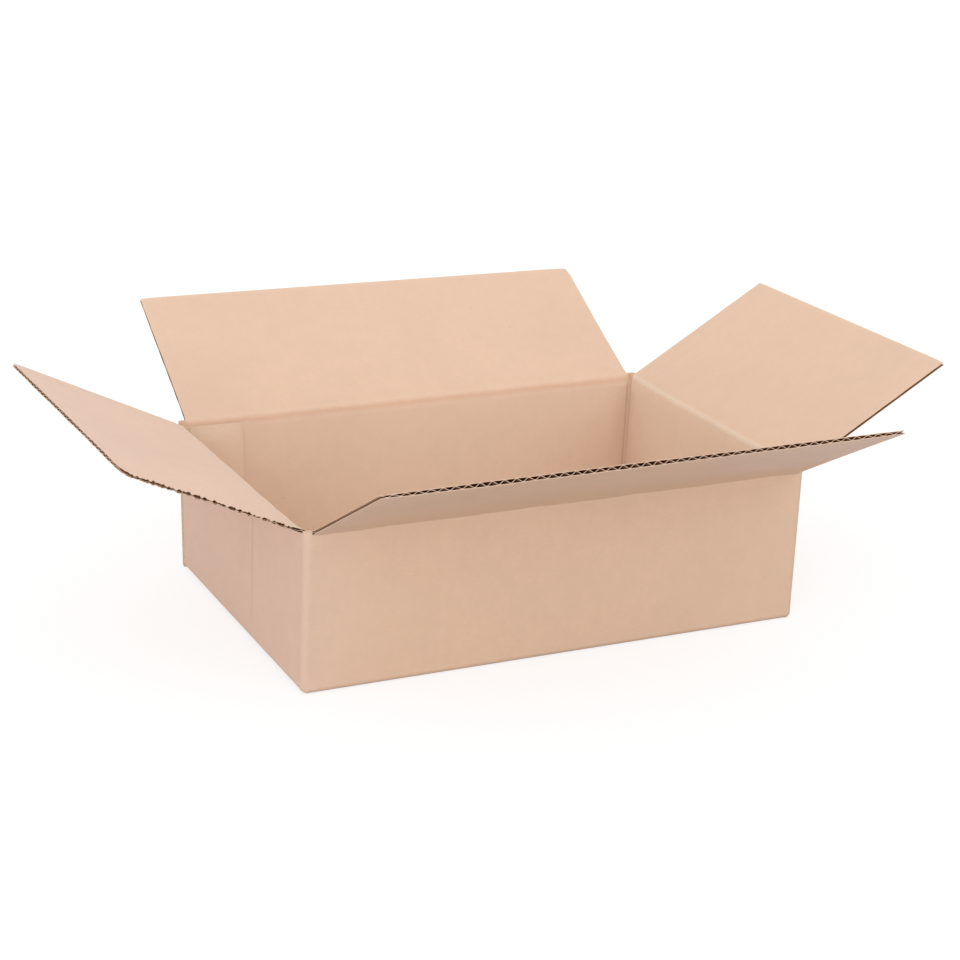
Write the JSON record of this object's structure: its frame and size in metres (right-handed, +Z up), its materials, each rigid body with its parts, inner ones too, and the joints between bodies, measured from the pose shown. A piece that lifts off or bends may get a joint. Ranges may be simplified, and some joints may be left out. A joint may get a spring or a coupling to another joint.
{
  "type": "open corrugated shipping box",
  "caption": "Low slotted shipping box of single-wall corrugated board, standing open with its top flaps spread and its bottom closed.",
  "frame": {"origin": "middle of the underside of the closed bottom", "axes": "+Z up, X along the long panels with +X towards the right flap, +Y from the front panel to the back panel"},
  "size_m": [0.4854, 0.3984, 0.1455],
  "materials": {
    "kraft_board": "matte",
    "kraft_board_inside": "matte"
  },
  "bodies": {
    "box": {"box_body": "kraft_board"},
    "front": {"front_flap": "kraft_board_inside"},
    "back": {"back_flap": "kraft_board_inside"},
    "left": {"left_flap": "kraft_board_inside"},
    "right": {"right_flap": "kraft_board_inside"}
  },
  "joints": [
    {"name": "front_flap_fold", "type": "hinge", "parent": "box", "child": "front", "pos_m": [0, -0.10615, 0.0908], "axis": [1, 0, 0], "range_deg": [-152.5, 87.5]},
    {"name": "back_flap_fold", "type": "hinge", "parent": "box", "child": "back", "pos_m": [0, 0.10615, 0.0908], "axis": [-1, 0, 0], "range_deg": [-150, 90]},
    {"name": "left_flap_fold", "type": "hinge", "parent": "box", "child": "left", "pos_m": [-0.14915, 0, 0.0875], "axis": [0, -1, 0], "range_deg": [-155, 85]},
    {"name": "right_flap_fold", "type": "hinge", "parent": "box", "child": "right", "pos_m": [0.14915, 0, 0.0875], "axis": [0, 1, 0], "range_deg": [-149, 91]}
  ]
}
